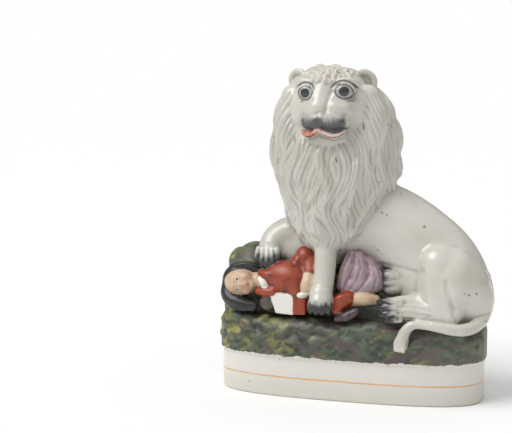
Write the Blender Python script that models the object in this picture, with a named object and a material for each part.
"""A press-moulded earthenware group: a seated lion with one forepaw on a reclining figure, on a grassy
mound over a low oval plinth.

Points are written in millimetres with +Z up. X runs along the plinth towards the lion's rump, -Y is the
decorated front, and the origin is the middle of the plinth's underside. The group left its mould as one
piece, so all its masses are laid down as lumps of clay and then fused into one closed solid.
"""
import math
import random

import bmesh
import bpy
from mathutils import Euler, Matrix, Vector
from mathutils.bvhtree import BVHTree

MM = 0.001

# Driving dimensions, in millimetres
PLINTH_LENGTH = 194.0
PLINTH_DEPTH = 74.0
PLINTH_HEIGHT = 32.0
PLINTH_SQUARENESS = 2.9
FOOT_BEVEL = 1.2
MOUND_OVERHANG = 1.5
MOUND_SINK = 3.0
MOUND_TOP = 57.0
MOUND_SHOULDER = 7.0
BOULDERS = 26
CRAGS = 9

# The mane's combing
LOCK_SPACING = 7.0
LOCK_RADIUS = 3.9
LOCK_SINK = 1.0
LOCK_LONGEST = 95.0
LOCK_SHORTEST = 14.0
COMB_STEP = 2.0
HEM_HEIGHT = 115.0

# The fused skin
VOXEL = 1.2
SMOOTHING_ROUNDS = 2
TRIANGLES = 9200
CARVING_WEIGHT = 0.002
CARVED_SHARE = 0.1

# The lion's trunk, from the breast down the sloping back to the seat
BREAST = (-10, 0, 130)
RIBS = (18, 1, 127)
LOIN = (44, 1, 112)
HIP = (65, 1, 84)
SEAT = (66, 1, 68)

# The lion's face
SKULL = (-12, -14, 209)
MOUTH = (-12, -45, 193.5)
NEAR_EYE = (1.2, -36, 221.3)
FAR_EYE = (-27, -35.5, 220.6)
FACE_MIDDLE = (-13, -44, 207)
FACE_HALF_WIDTH = 26.0
FACE_HALF_HEIGHT = 22.0
NEAR_EAR = (7, -5, 229)
FAR_EAR = (-40, -5, 231)

# The mane without its locks: height, then the left, right, front and back of a level section
MANE_SECTIONS = (
    (237, -30, 1, -18, 6),
    (231, -38, 8, -23, 14),
    (221, -48, 15, -26, 21),
    (206, -55.5, 25, -31, 27),
    (190, -57, 30, -37, 30),
    (172, -56.5, 31, -40, 31),
    (157, -53, 32, -40, 30),
    (143, -46, 26, -38, 26),
    (131, -41, 19, -35, 20),
    (121, -34, 11, -33, 12),
    (113, -24, 3, -30, 4),
)

# The figure's head and dress
SKIRT_FOLDS = 5
FIGURE_HEAD = (-78.5, -22, 80.5)


def mm(point):
    return Vector(point) * MM


def link(name, data):
    obj = bpy.data.objects.new(name, data)
    bpy.context.scene.collection.objects.link(obj)
    return obj


def ball(centre, radii, turn=(0, 0, 0)):
    """An ellipsoid of clay: radii along its own axes, turned by degrees about X, Y and Z."""
    mesh = bpy.data.meshes.new("ball")
    bm = bmesh.new()
    bmesh.ops.create_icosphere(bm, subdivisions=4, radius=1.0)
    spin = Euler([math.radians(angle) for angle in turn]).to_matrix().to_4x4()
    place = Matrix.Translation(mm(centre)) @ spin @ Matrix.Diagonal((*mm(radii), 1))
    bmesh.ops.transform(bm, matrix=place, verts=bm.verts)
    bm.to_mesh(mesh)
    bm.free()
    return link("ball", mesh)


def through(keys, steps):
    """Samples along a Catmull-Rom curve through the keys, which are vectors of any size."""
    keys = [2 * keys[0] - keys[1], *keys, 2 * keys[-1] - keys[-2]]
    samples = []
    for a, b, c, d in zip(keys, keys[1:], keys[2:], keys[3:]):
        for step in range(steps):
            t = step / steps
            bend = (c - a) * t + (2 * a - 5 * b + 4 * c - d) * t**2 + (3 * b - a - 3 * c + d) * t**3
            samples.append(b + bend / 2)
    return [*samples, keys[-2]]


def round_ends(path):
    """The path with a half-ball of shrinking rings past each end."""
    caps = []
    for (end, radius), (inner, _) in ((path[0], path[1]), (path[-1], path[-2])):
        out = (end - inner).normalized()
        caps.append([(end + out * radius * math.sin(a), radius * math.cos(a)) for a in (0.4, 0.8, 1.15, 1.5)])
    return [*reversed(caps[0]), *path, *caps[1]]


def tubes(paths, sides=4):
    """One curve object whose splines are the paths, each a list of (point, radius)."""
    curve = bpy.data.curves.new("tubes", "CURVE")
    curve.dimensions = "3D"
    curve.bevel_depth = MM
    curve.bevel_resolution = sides
    curve.use_fill_caps = True
    for path in paths:
        path = round_ends(path)
        spline = curve.splines.new("POLY")
        spline.points.add(len(path) - 1)
        for spot, (point, radius) in zip(spline.points, path):
            spot.co = (*(point * MM), 1)
            spot.radius = radius
    return link("tubes", curve)


def limb(*stations, depth=1.0):
    """A rounded limb through the stations, each (point, radius), with its depth along Y scaled."""
    keys = through([Vector((*point, radius)) for point, radius in stations], 8)
    sides = 4 if max(radius for _, radius in stations) < 12 else 16
    obj = tubes([[(Vector(key[:3]), max(key[3], 0.3)) for key in keys]], sides)
    middle = sum(point[1] for point, _ in stations) / len(stations) * MM
    obj.matrix_world = Matrix.Translation((0, middle * (1 - depth), 0)) @ Matrix.Diagonal((1, depth, 1, 1))
    return obj


def oval(length, depth, squareness, count=96):
    """Points of a superellipse, anticlockwise from +X."""
    points = []
    for k in range(count):
        angle = 2 * math.pi * k / count
        c, s = math.cos(angle), math.sin(angle)
        x = math.copysign(abs(c) ** (2 / squareness), c) * length / 2
        y = math.copysign(abs(s) ** (2 / squareness), s) * depth / 2
        points.append((x, y))
    return points


def oval_block(name, depth, length, bottom, top, edge, round_top):
    """An upright oval block with its bottom or top edge rounded over by the edge width."""
    mesh = bpy.data.meshes.new(name)
    bm = bmesh.new()
    floor = bm.faces.new([bm.verts.new(mm((x, y, bottom))) for x, y in oval(length, depth, PLINTH_SQUARENESS)])
    raised = bmesh.ops.extrude_face_region(bm, geom=[floor])["geom"]
    lifted = [item for item in raised if isinstance(item, bmesh.types.BMVert)]
    bmesh.ops.translate(bm, vec=mm((0, 0, top - bottom)), verts=lifted)
    bmesh.ops.recalc_face_normals(bm, faces=bm.faces)
    level = (top if round_top else bottom) * MM
    rim = [e for e in bm.edges if all(abs(v.co.z - level) < MM / 100 for v in e.verts)]
    bmesh.ops.bevel(bm, geom=rim, offset=edge * MM, segments=4 if round_top else 2, affect="EDGES", profile=0.5)
    bm.to_mesh(mesh)
    bm.free()
    return link(name, mesh)


def loft(sections, steps=4):
    """Clay through level oval sections, each (height, left, right, front, back)."""
    mesh = bpy.data.meshes.new("loft")
    bm = bmesh.new()
    rings = []
    for z, left, right, front, back in through([Vector(section) for section in sections], steps):
        outline = oval(right - left, back - front, 2.3, count=48)
        middle = Vector(((left + right) / 2, (front + back) / 2, z))
        rings.append([bm.verts.new(mm(middle + Vector((x, y, 0)))) for x, y in outline])
    for upper, lower in zip(rings, rings[1:]):
        for k in range(len(upper)):
            bm.faces.new((upper[k - 1], lower[k - 1], lower[k], upper[k]))
    bm.faces.new(rings[0])
    bm.faces.new(rings[-1])
    bmesh.ops.recalc_face_normals(bm, faces=bm.faces)
    bm.to_mesh(mesh)
    bm.free()
    return link("loft", mesh)


def fused(name, clay, voxel, smoothing=0):
    """The clay joined and given one skin of voxels, then smoothed."""
    bpy.ops.object.select_all(action="DESELECT")
    for obj in clay:
        obj.select_set(True)
    bpy.context.view_layer.objects.active = clay[0]
    bpy.ops.object.convert(target="MESH")
    bpy.ops.object.transform_apply(location=True, rotation=True, scale=True)
    bpy.ops.object.join()
    obj = bpy.context.view_layer.objects.active
    obj.name = name
    remesh = obj.modifiers.new("skin", "REMESH")
    remesh.mode = "VOXEL"
    remesh.voxel_size = voxel * MM
    if smoothing:
        smooth = obj.modifiers.new("smooth", "SMOOTH")
        smooth.factor = 0.5
        smooth.iterations = smoothing
    for modifier in list(obj.modifiers):
        bpy.ops.object.modifier_apply(modifier=modifier.name)
    return obj


def mound():
    """The grassy mound: a rounded block over the plinth, a bank behind the figure's head, and boulders."""
    length, depth = PLINTH_LENGTH + 2 * MOUND_OVERHANG, PLINTH_DEPTH + 2 * MOUND_OVERHANG
    clay = [oval_block("block", depth, length, PLINTH_HEIGHT - MOUND_SINK, MOUND_TOP, MOUND_SHOULDER, True)]
    clay += [
        ball((-76, 6, 64), (23.5, 27, 43)),
        ball((-48, 5, 74), (34, 23, 30)),
        ball((20, 4, 66), (72, 24, 42)),
    ]
    chance = random.Random(4)
    for k in range(BOULDERS):
        angle = math.radians(192 + 156 * k / (BOULDERS - 1))
        reach = abs(math.cos(angle)) ** PLINTH_SQUARENESS
        x = math.cos(angle) * (length / 2 - 6)
        y = -(depth / 2 - 6.5) * (1 - reach) ** (1 / PLINTH_SQUARENESS)
        size = chance.uniform(5.5, 8)
        slant = (0, chance.uniform(-50, 50), 0)
        clay.append(ball((x, y - 1.5, chance.uniform(40, 51)), (size * 1.5, size, size * 0.7), slant))
    for k in range(CRAGS):
        angle = math.radians(150 - 118 * k / (CRAGS - 1))
        rise = chance.uniform(0.2, 0.75)
        x = -76 + math.cos(angle) * 23 * (1 - rise**2) - 2
        y = 6 + math.sin(angle) * 25 * (1 - rise**2)
        size = chance.uniform(5.5, 9)
        clay.append(ball((x, y, 66 + 40 * rise), (size, size, size * 1.3), (chance.uniform(-40, 40), 0, 0)))
    return clay


def trunk():
    """The lion's trunk, the rump's rounding over the seat, and the breast between the forelegs."""
    return [
        limb((BREAST, 33), (RIBS, 29.5), (LOIN, 31), (HIP, 35), (SEAT, 35), depth=0.8),
        ball((70, 0, 60), (32, 28, 26)),
        ball((76, 13, 78), (23, 18, 28)),
        ball((-22, -4, 110), (24, 18, 20)),
        ball((-44, -5, 106), (15, 13, 15)),
    ]


def paw(tip, heading, across, breadth, length):
    """Four toes side by side over a pad: each swells to a knuckle and ends in a blunt claw."""
    tip, forward, side = Vector(tip), Vector(heading).normalized(), Vector(across).normalized()
    toe = breadth / 7.6
    clay = []
    for k in range(4):
        from_middle = k - 1.5
        end = tip + side * from_middle * toe * 2.15 + forward * toe * (1.2 - 0.5 * abs(from_middle))
        root = tip + side * from_middle * toe * 1.4 - forward * length
        knuckle, claw = end - forward * toe * 1.2, end + forward * toe * 0.4
        clay.append(limb((root, toe), (knuckle, toe * 1.12), (claw, toe * 0.6)))
    clay.append(limb((tip - forward * length, breadth * 0.48), (tip - forward * toe * 1.8, breadth * 0.4)))
    return clay


def forelegs():
    """The near foreleg stands straight, the far one bends to lay its paw on the figure's shoulder."""
    near = (
        ((-7, -14, 128), 15),
        ((-9, -23, 111), 12),
        ((-10.5, -28, 98), 9.6),
        ((-12.5, -31.5, 86), 7.4),
        ((-15, -33.5, 75), 7.6),
    )
    far = (((-38, 0, 116), 15), ((-52, -5, 113), 12), ((-59.5, -10, 106), 10.5), ((-61, -15, 98), 9.2))
    clay = [limb(*near), limb(*far)]
    clay += paw((-15.8, -39, 66.5), (0, -0.75, -0.8), (1, 0, 0), 18, 8)
    clay += paw((-61, -22.5, 91.5), (0, -0.4, -1), (1, 0.1, 0), 18, 10)
    return clay


def hind_legs():
    """The near haunch folded over its long foot, and the far foot showing above it."""
    clay = [
        ball((78, -11, 88), (23, 18, 25), (0, 25, 0)),
        ball((67.5, -17, 99), (15.5, 15, 17.5)),
        limb(((66.5, -20, 99), 13.5), ((64, -22.5, 90), 11.5), ((65.5, -25, 78), 11), ((72, -26, 68), 10)),
        ball((89, -12, 73), (14.5, 17, 22)),
        limb(((79, -27, 64.5), 8), ((68, -29, 66), 7.6), ((54, -31.5, 67.5), 7), ((40, -33.5, 67), 7.2)),
        limb(((62, -6, 84), 10), ((48, -10, 84.5), 8.6), ((36, -14, 86), 8.8)),
    ]
    for rise in (-2.5, 1, 4.5):
        tendon = (((58, -36.5, 66 + rise), 1.6), ((47, -39, 66 + rise), 1.9), ((36, -39, 66 + rise * 1.3), 2.2))
        clay.append(limb(*tendon))
    clay += paw((31.5, -35, 66.5), (-1, -0.15, 0), (0, 0.3, 1), 16.5, 6)
    clay += paw((28.5, -17, 85.5), (-1, -0.1, 0), (0, 0.2, 1), 19, 9)
    return clay


def tail():
    """Down the rump, round to the front and over the mound, where its tuft hangs to the plinth."""
    path = (
        ((97, 4, 90), 3),
        ((100.5, -3, 77), 3.8),
        ((100, -11, 67), 3.8),
        ((96.5, -21, 60), 3.7),
        ((90, -29.5, 57.5), 3.6),
        ((78, -35.5, 57.4), 3.4),
        ((68, -38, 59), 3.3),
        ((59, -39, 60.3), 3.3),
        ((52, -39.5, 59.5), 3.3),
        ((47.8, -39.5, 55), 3.4),
        ((45.3, -39.5, 48.5), 4),
        ((44, -38.5, 41.5), 4.6),
    )
    return [limb(*path)]


def ear(middle, radius, turn):
    """A cupped ear: a thick rim, open below and hollow in front, over a thin leaf."""
    spin = Matrix.Rotation(math.radians(turn), 3, "Z")
    rim = []
    for k in range(9):
        angle = math.radians(-50 + 280 * k / 8)
        offset = spin @ Vector((math.cos(angle) * radius, 0, math.sin(angle) * radius))
        rim.append((Vector(middle) + offset, 2.3))
    return [limb(*rim), ball(Vector(middle) + Vector((0, 2.5, -1)), (radius, 2.6, radius), (0, 0, turn))]


def head():
    """Skull, cheeks, a broad two-lobed muzzle, wavy lips, chin, eyes under low brows, and ears."""
    lips = ((-15.5, 5, 1), (-11, 1, -2.2), (-1, -2, 1.6), (8.5, 0.5, -2.2), (15.5, 4.5, 0.8))
    clay = [
        ball(SKULL, (27, 23, 25)),
        ball((-13, -24, 217), (25.5, 15, 16)),
        limb(((-13, -28, 228), 9), ((-12.5, -32, 218), 11), ((-12, -35, 208), 13), depth=0.85),
        ball((-18, -38, 206), (9.5, 8.5, 12), (14, 0, 10)),
        ball((-5, -37.5, 206), (9.5, 8.5, 12), (14, 0, -10)),
        limb(((-24, -38, 200), 6), ((-17, -42.5, 200.5), 7.3), ((-12, -43.5, 201), 6.6)),
        limb(((0.5, -37, 200), 6), ((-6, -42, 200.5), 7.3), ((-11, -43.5, 201), 6.6)),
        limb(*((Vector(MOUTH) + Vector(offset), 2.3) for offset in lips)),
        ball((-12, -37, 188), (13, 7.5, 6)),
        ball((-30, -23, 207), (13, 13, 18)),
        ball((4.5, -23.5, 207), (13, 13, 18)),
        ball(NEAR_EYE, (8.4, 4.6, 5.8), (0, -6, 14)),
        ball(FAR_EYE, (8.4, 4.6, 5.8), (0, 6, -14)),
        limb(((10, -29.5, 225), 2), ((5, -33, 229), 2.4), ((-3, -35, 228.5), 2.2)),
        limb(((-36, -28.5, 224), 2), ((-31, -32.5, 228), 2.4), ((-23, -35, 228), 2.2)),
    ]
    clay += ear(NEAR_EAR, 8, 18)
    clay += ear(FAR_EAR, 5, -18)
    return clay


def in_mane(point):
    """True on the mane: outside the face's oval, below the crown, above the hem that dips at the breast."""
    across = (point.x - FACE_MIDDLE[0]) / FACE_HALF_WIDTH
    up = (point.z - FACE_MIDDLE[2]) / FACE_HALF_HEIGHT
    bare_face = point.y < -6 and across**2 + up**2 < 1
    crown = point.z > 222 and point.y < 2
    hem = HEM_HEIGHT + 0.75 * max(abs(point.x + 10) - 16, 0) + 0.25 * max(point.y + 22, 0)
    return point.z > hem and not bare_face and not crown


def combed(point, normal):
    """The direction of the hair on the mane: a little out from the face, then down in slow waves."""
    away = point - Vector(FACE_MIDDLE)
    near = math.exp(-((away.length / 36) ** 2))
    swing = 0.25 + 0.4 * (1 - near)
    wave = swing * math.sin(point.z / 7 + math.atan2(point.y, point.x + 12) * 3)
    sideways = Vector((-point.y, point.x + 12, 0)).normalized()
    heading = Vector((0.035 * away.x * near, 0, -1)) + sideways * wave
    return (heading - normal * heading.dot(normal)).normalized()


def comb(tree):
    """Evenly spaced flow lines over the mane, each a list of (point, normal), found by seeding at random."""
    chance = random.Random(7)
    taken = []
    lines = []

    def clear(point, distance):
        return all((point - other).length_squared > distance**2 for other in taken)

    def walk(point, sense):
        line = []
        while len(line) * COMB_STEP * 2 < LOCK_LONGEST:
            spot, normal, _, _ = tree.find_nearest(point)
            if not in_mane(spot) or not clear(spot, LOCK_SPACING * 0.62):
                break
            line.append((spot, normal))
            point = spot + combed(spot, normal) * COMB_STEP * sense
        return line

    for _ in range(900):
        aim = Vector([chance.gauss(0, 1) for _ in range(3)]).normalized()
        start, normal, _, _ = tree.find_nearest(Vector((-13, -3, chance.uniform(140, 200))) + aim * 60)
        if not in_mane(start) or not clear(start, LOCK_SPACING):
            continue
        line = [*reversed(walk(start, -1)), *walk(start, 1)[1:]]
        if len(line) * COMB_STEP >= LOCK_SHORTEST:
            lines.append(line)
            taken += [spot for spot, _ in line]
    return lines


def mane_locks(core):
    """Tapered locks laid along the combing lines, half sunk in the mane's core."""
    bm = bmesh.new()
    bm.from_mesh(core.data)
    bmesh.ops.scale(bm, vec=(1 / MM,) * 3, verts=bm.verts)
    tree = BVHTree.FromBMesh(bm)
    bm.free()
    chance = random.Random(11)
    paths = []
    for line in comb(tree):
        last = len(line) - 1
        radius = LOCK_RADIUS * chance.uniform(0.8, 1.15)
        path = []
        for k, (spot, normal) in enumerate(line):
            swell = min(1, 0.3 + k / 5, 0.25 + (last - k) / 6)
            path.append((spot - normal * LOCK_SINK, radius * swell))
        paths.append(path)
    return tubes(paths, sides=2)


def tresses():
    """The heavy locks that give the mane its scalloped outline at either side."""
    right = (
        (((13, 0, 222), 4), ((20, 0, 214), 5.5), ((26, 0, 204), 5), ((26, -2, 195), 3.5)),
        (((24, 3, 204), 4), ((29.5, 4, 192), 5.5), ((30.5, 3, 180), 5), ((28, 0, 170), 3)),
        (((28, 4, 180), 4), ((31.5, 4, 168), 4.5), ((33, 3, 159), 4), ((35.5, 2, 156), 2.5)),
    )
    left = (
        (((-45, -2, 221), 4), ((-52, -4, 210), 5), ((-55, -6, 198), 4.5), ((-53, -12, 190), 3)),
        (((-54, -4, 196), 4.5), ((-57, -5, 182), 5), ((-56.5, -8, 170), 4.5), ((-52, -14, 160), 3)),
    )
    return [limb(*lock) for lock in (*right, *left)]


def crown():
    """Short curls over the brow, between the ears, each a hooked tuft."""
    chance = random.Random(3)
    clay = []
    for row, height in enumerate((226.5, 231, 235)):
        for k in range(6 - row):
            x = -13 + (k - (5 - row) / 2) * (7 - 0.5 * row)
            y = -33 + row * 7 + 0.012 * (x + 13) ** 2
            lean = chance.uniform(1.5, 3) * (1 if (k + row) % 2 else -1)
            bend, tip = (x + lean, y - 1, height + 1.5), (x - lean * 0.3, y + 2.5, height + 4)
            clay.append(limb(((x, y, height - 3), 3), (bend, 3), (tip, 2.2)))
    return clay


def figure():
    """The reclining figure: head to the left, jacket, raised sleeve, sash, skirt and folded leg."""
    face = Vector(FIGURE_HEAD)
    clay = [
        ball(face, (12.4, 11, 9.8)),
        ball(face + Vector((1, -10.5, 0)), (2.4, 2.4, 1.6)),
        ball(face + Vector((-4, 5, 0.5)), (14.5, 11, 13.5)),
        limb(((-92, -16, 85), 4), ((-85, -19, 91.5), 4), ((-74, -20, 92.5), 3.6), ((-65, -20, 89), 3)),
        limb(((-93, -17, 80), 6), ((-89.5, -25, 69), 6.5), ((-78, -28, 64), 6), ((-66, -29, 63), 4)),
        limb(((-67, -21, 82), 6), ((-58, -21.5, 83), 7.5)),
        limb(((-58, -20, 83), 9), ((-48, -22, 86), 12), ((-38, -24, 84), 12.5), ((-33, -26, 78), 9.5)),
        limb(((-63, -27, 77), 3.2), ((-54, -31, 76), 4)),
        limb(((-61, -25, 89), 3), ((-53, -29, 90), 3.6)),
        ball((-30, -17, 99.5), (8.5, 8.5, 9.5)),
        limb(((-27.5, -19, 98), 7.5), ((-26, -24, 90), 6.6)),
        limb(((-26, -26, 87), 5.6), ((-28, -30, 79), 5.4), ((-31, -31, 74), 4.6)),
        limb(((-31, -32.5, 70), 4.8), ((-30.5, -35, 62), 4.8)),
        ball((-44, -30.5, 66.5), (10, 6, 7.5)),
    ]
    for k in range(3):
        z = 70.5 - 4.5 * k
        clay.append(limb(((-51, -32, z), 2.2), ((-44, -34.5, z - 0.6), 2.6), ((-37.5, -34, z), 2.2)))
    for k in range(SKIRT_FOLDS):
        share = k / (SKIRT_FOLDS - 1)
        top = (-0.5 + 21 * share**1.2, -17.5, 104 - 11 * share**2.2)
        bottom = (-4 + 27 * share, -25.5, 79.5)
        middle = (Vector(top) + Vector(bottom)) / 2 + Vector((2.5 * share, -3, 0))
        clay.append(limb((top, 2.4), (middle, 3.3), (bottom, 3)))
    clay += [
        ball((10, -12, 91), (15, 7, 14)),
        limb(((26, -24, 74), 4.6), ((17, -28, 74.5), 5.4), ((7, -28, 73.5), 5)),
        limb(((4, -29, 74), 6), ((-1, -30.5, 71), 7), ((-4, -32, 67), 5.6)),
        limb(((-3, -36.5, 60.5), 3.2), ((5, -37, 62.5), 4), ((11.5, -36, 66.5), 3.2)),
    ]
    return clay


def carved(point):
    """True where the surface is finely carved, in millimetres: the lion's head, its paws and the figure."""
    head = point.z > 180 and point.y < 8
    foreground = 57 < point.z < 110 and point.y < -9 and point.x < 45
    return head or foreground


def thin_out(obj):
    """Fewer triangles, with more of them kept where the surface is carved; done at millimetre size."""
    obj.data.transform(Matrix.Scale(1 / MM, 4))
    calm = obj.vertex_groups.new(name="calm")
    for vertex in obj.data.vertices:
        calm.add([vertex.index], CARVED_SHARE if carved(vertex.co) else 1.0, "REPLACE")
    thin = obj.modifiers.new("thin", "DECIMATE")
    thin.ratio = TRIANGLES / (2 * len(obj.data.polygons))
    thin.use_collapse_triangulate = True
    thin.vertex_group = calm.name
    thin.vertex_group_factor = CARVING_WEIGHT
    bpy.ops.object.modifier_apply(modifier=thin.name)
    obj.data.transform(Matrix.Scale(MM, 4))


def earthenware():
    glaze = bpy.data.materials.new("glazed_earthenware")
    glaze.use_nodes = True
    shader = glaze.node_tree.nodes["Principled BSDF"]
    shader.inputs["Base Color"].default_value = (0.76, 0.75, 0.70, 1)
    shader.inputs["Roughness"].default_value = 0.18
    shader.inputs["Metallic"].default_value = 0.0
    return glaze


def main():
    for obj in list(bpy.data.objects):
        bpy.data.objects.remove(obj)
    core = fused("mane_core", [loft(MANE_SECTIONS)], voxel=2.5, smoothing=2)
    locks = mane_locks(core)
    clay = mound() + trunk() + forelegs() + hind_legs() + tail() + head() + tresses() + crown() + figure()
    group = fused("staffordshire_lion", [core, locks, *clay], VOXEL, SMOOTHING_ROUNDS)
    thin_out(group)
    plinth = oval_block("plinth", PLINTH_DEPTH, PLINTH_LENGTH, 0, PLINTH_HEIGHT, FOOT_BEVEL, False)
    join = group.modifiers.new("join", "BOOLEAN")
    join.operation = "UNION"
    join.object = plinth
    bpy.context.view_layer.objects.active = group
    bpy.ops.object.modifier_apply(modifier=join.name)
    bpy.data.objects.remove(plinth)
    for face in group.data.polygons:
        face.use_smooth = face.center.z > PLINTH_HEIGHT * MM
    group.data.materials.clear()
    group.data.materials.append(earthenware())


main()
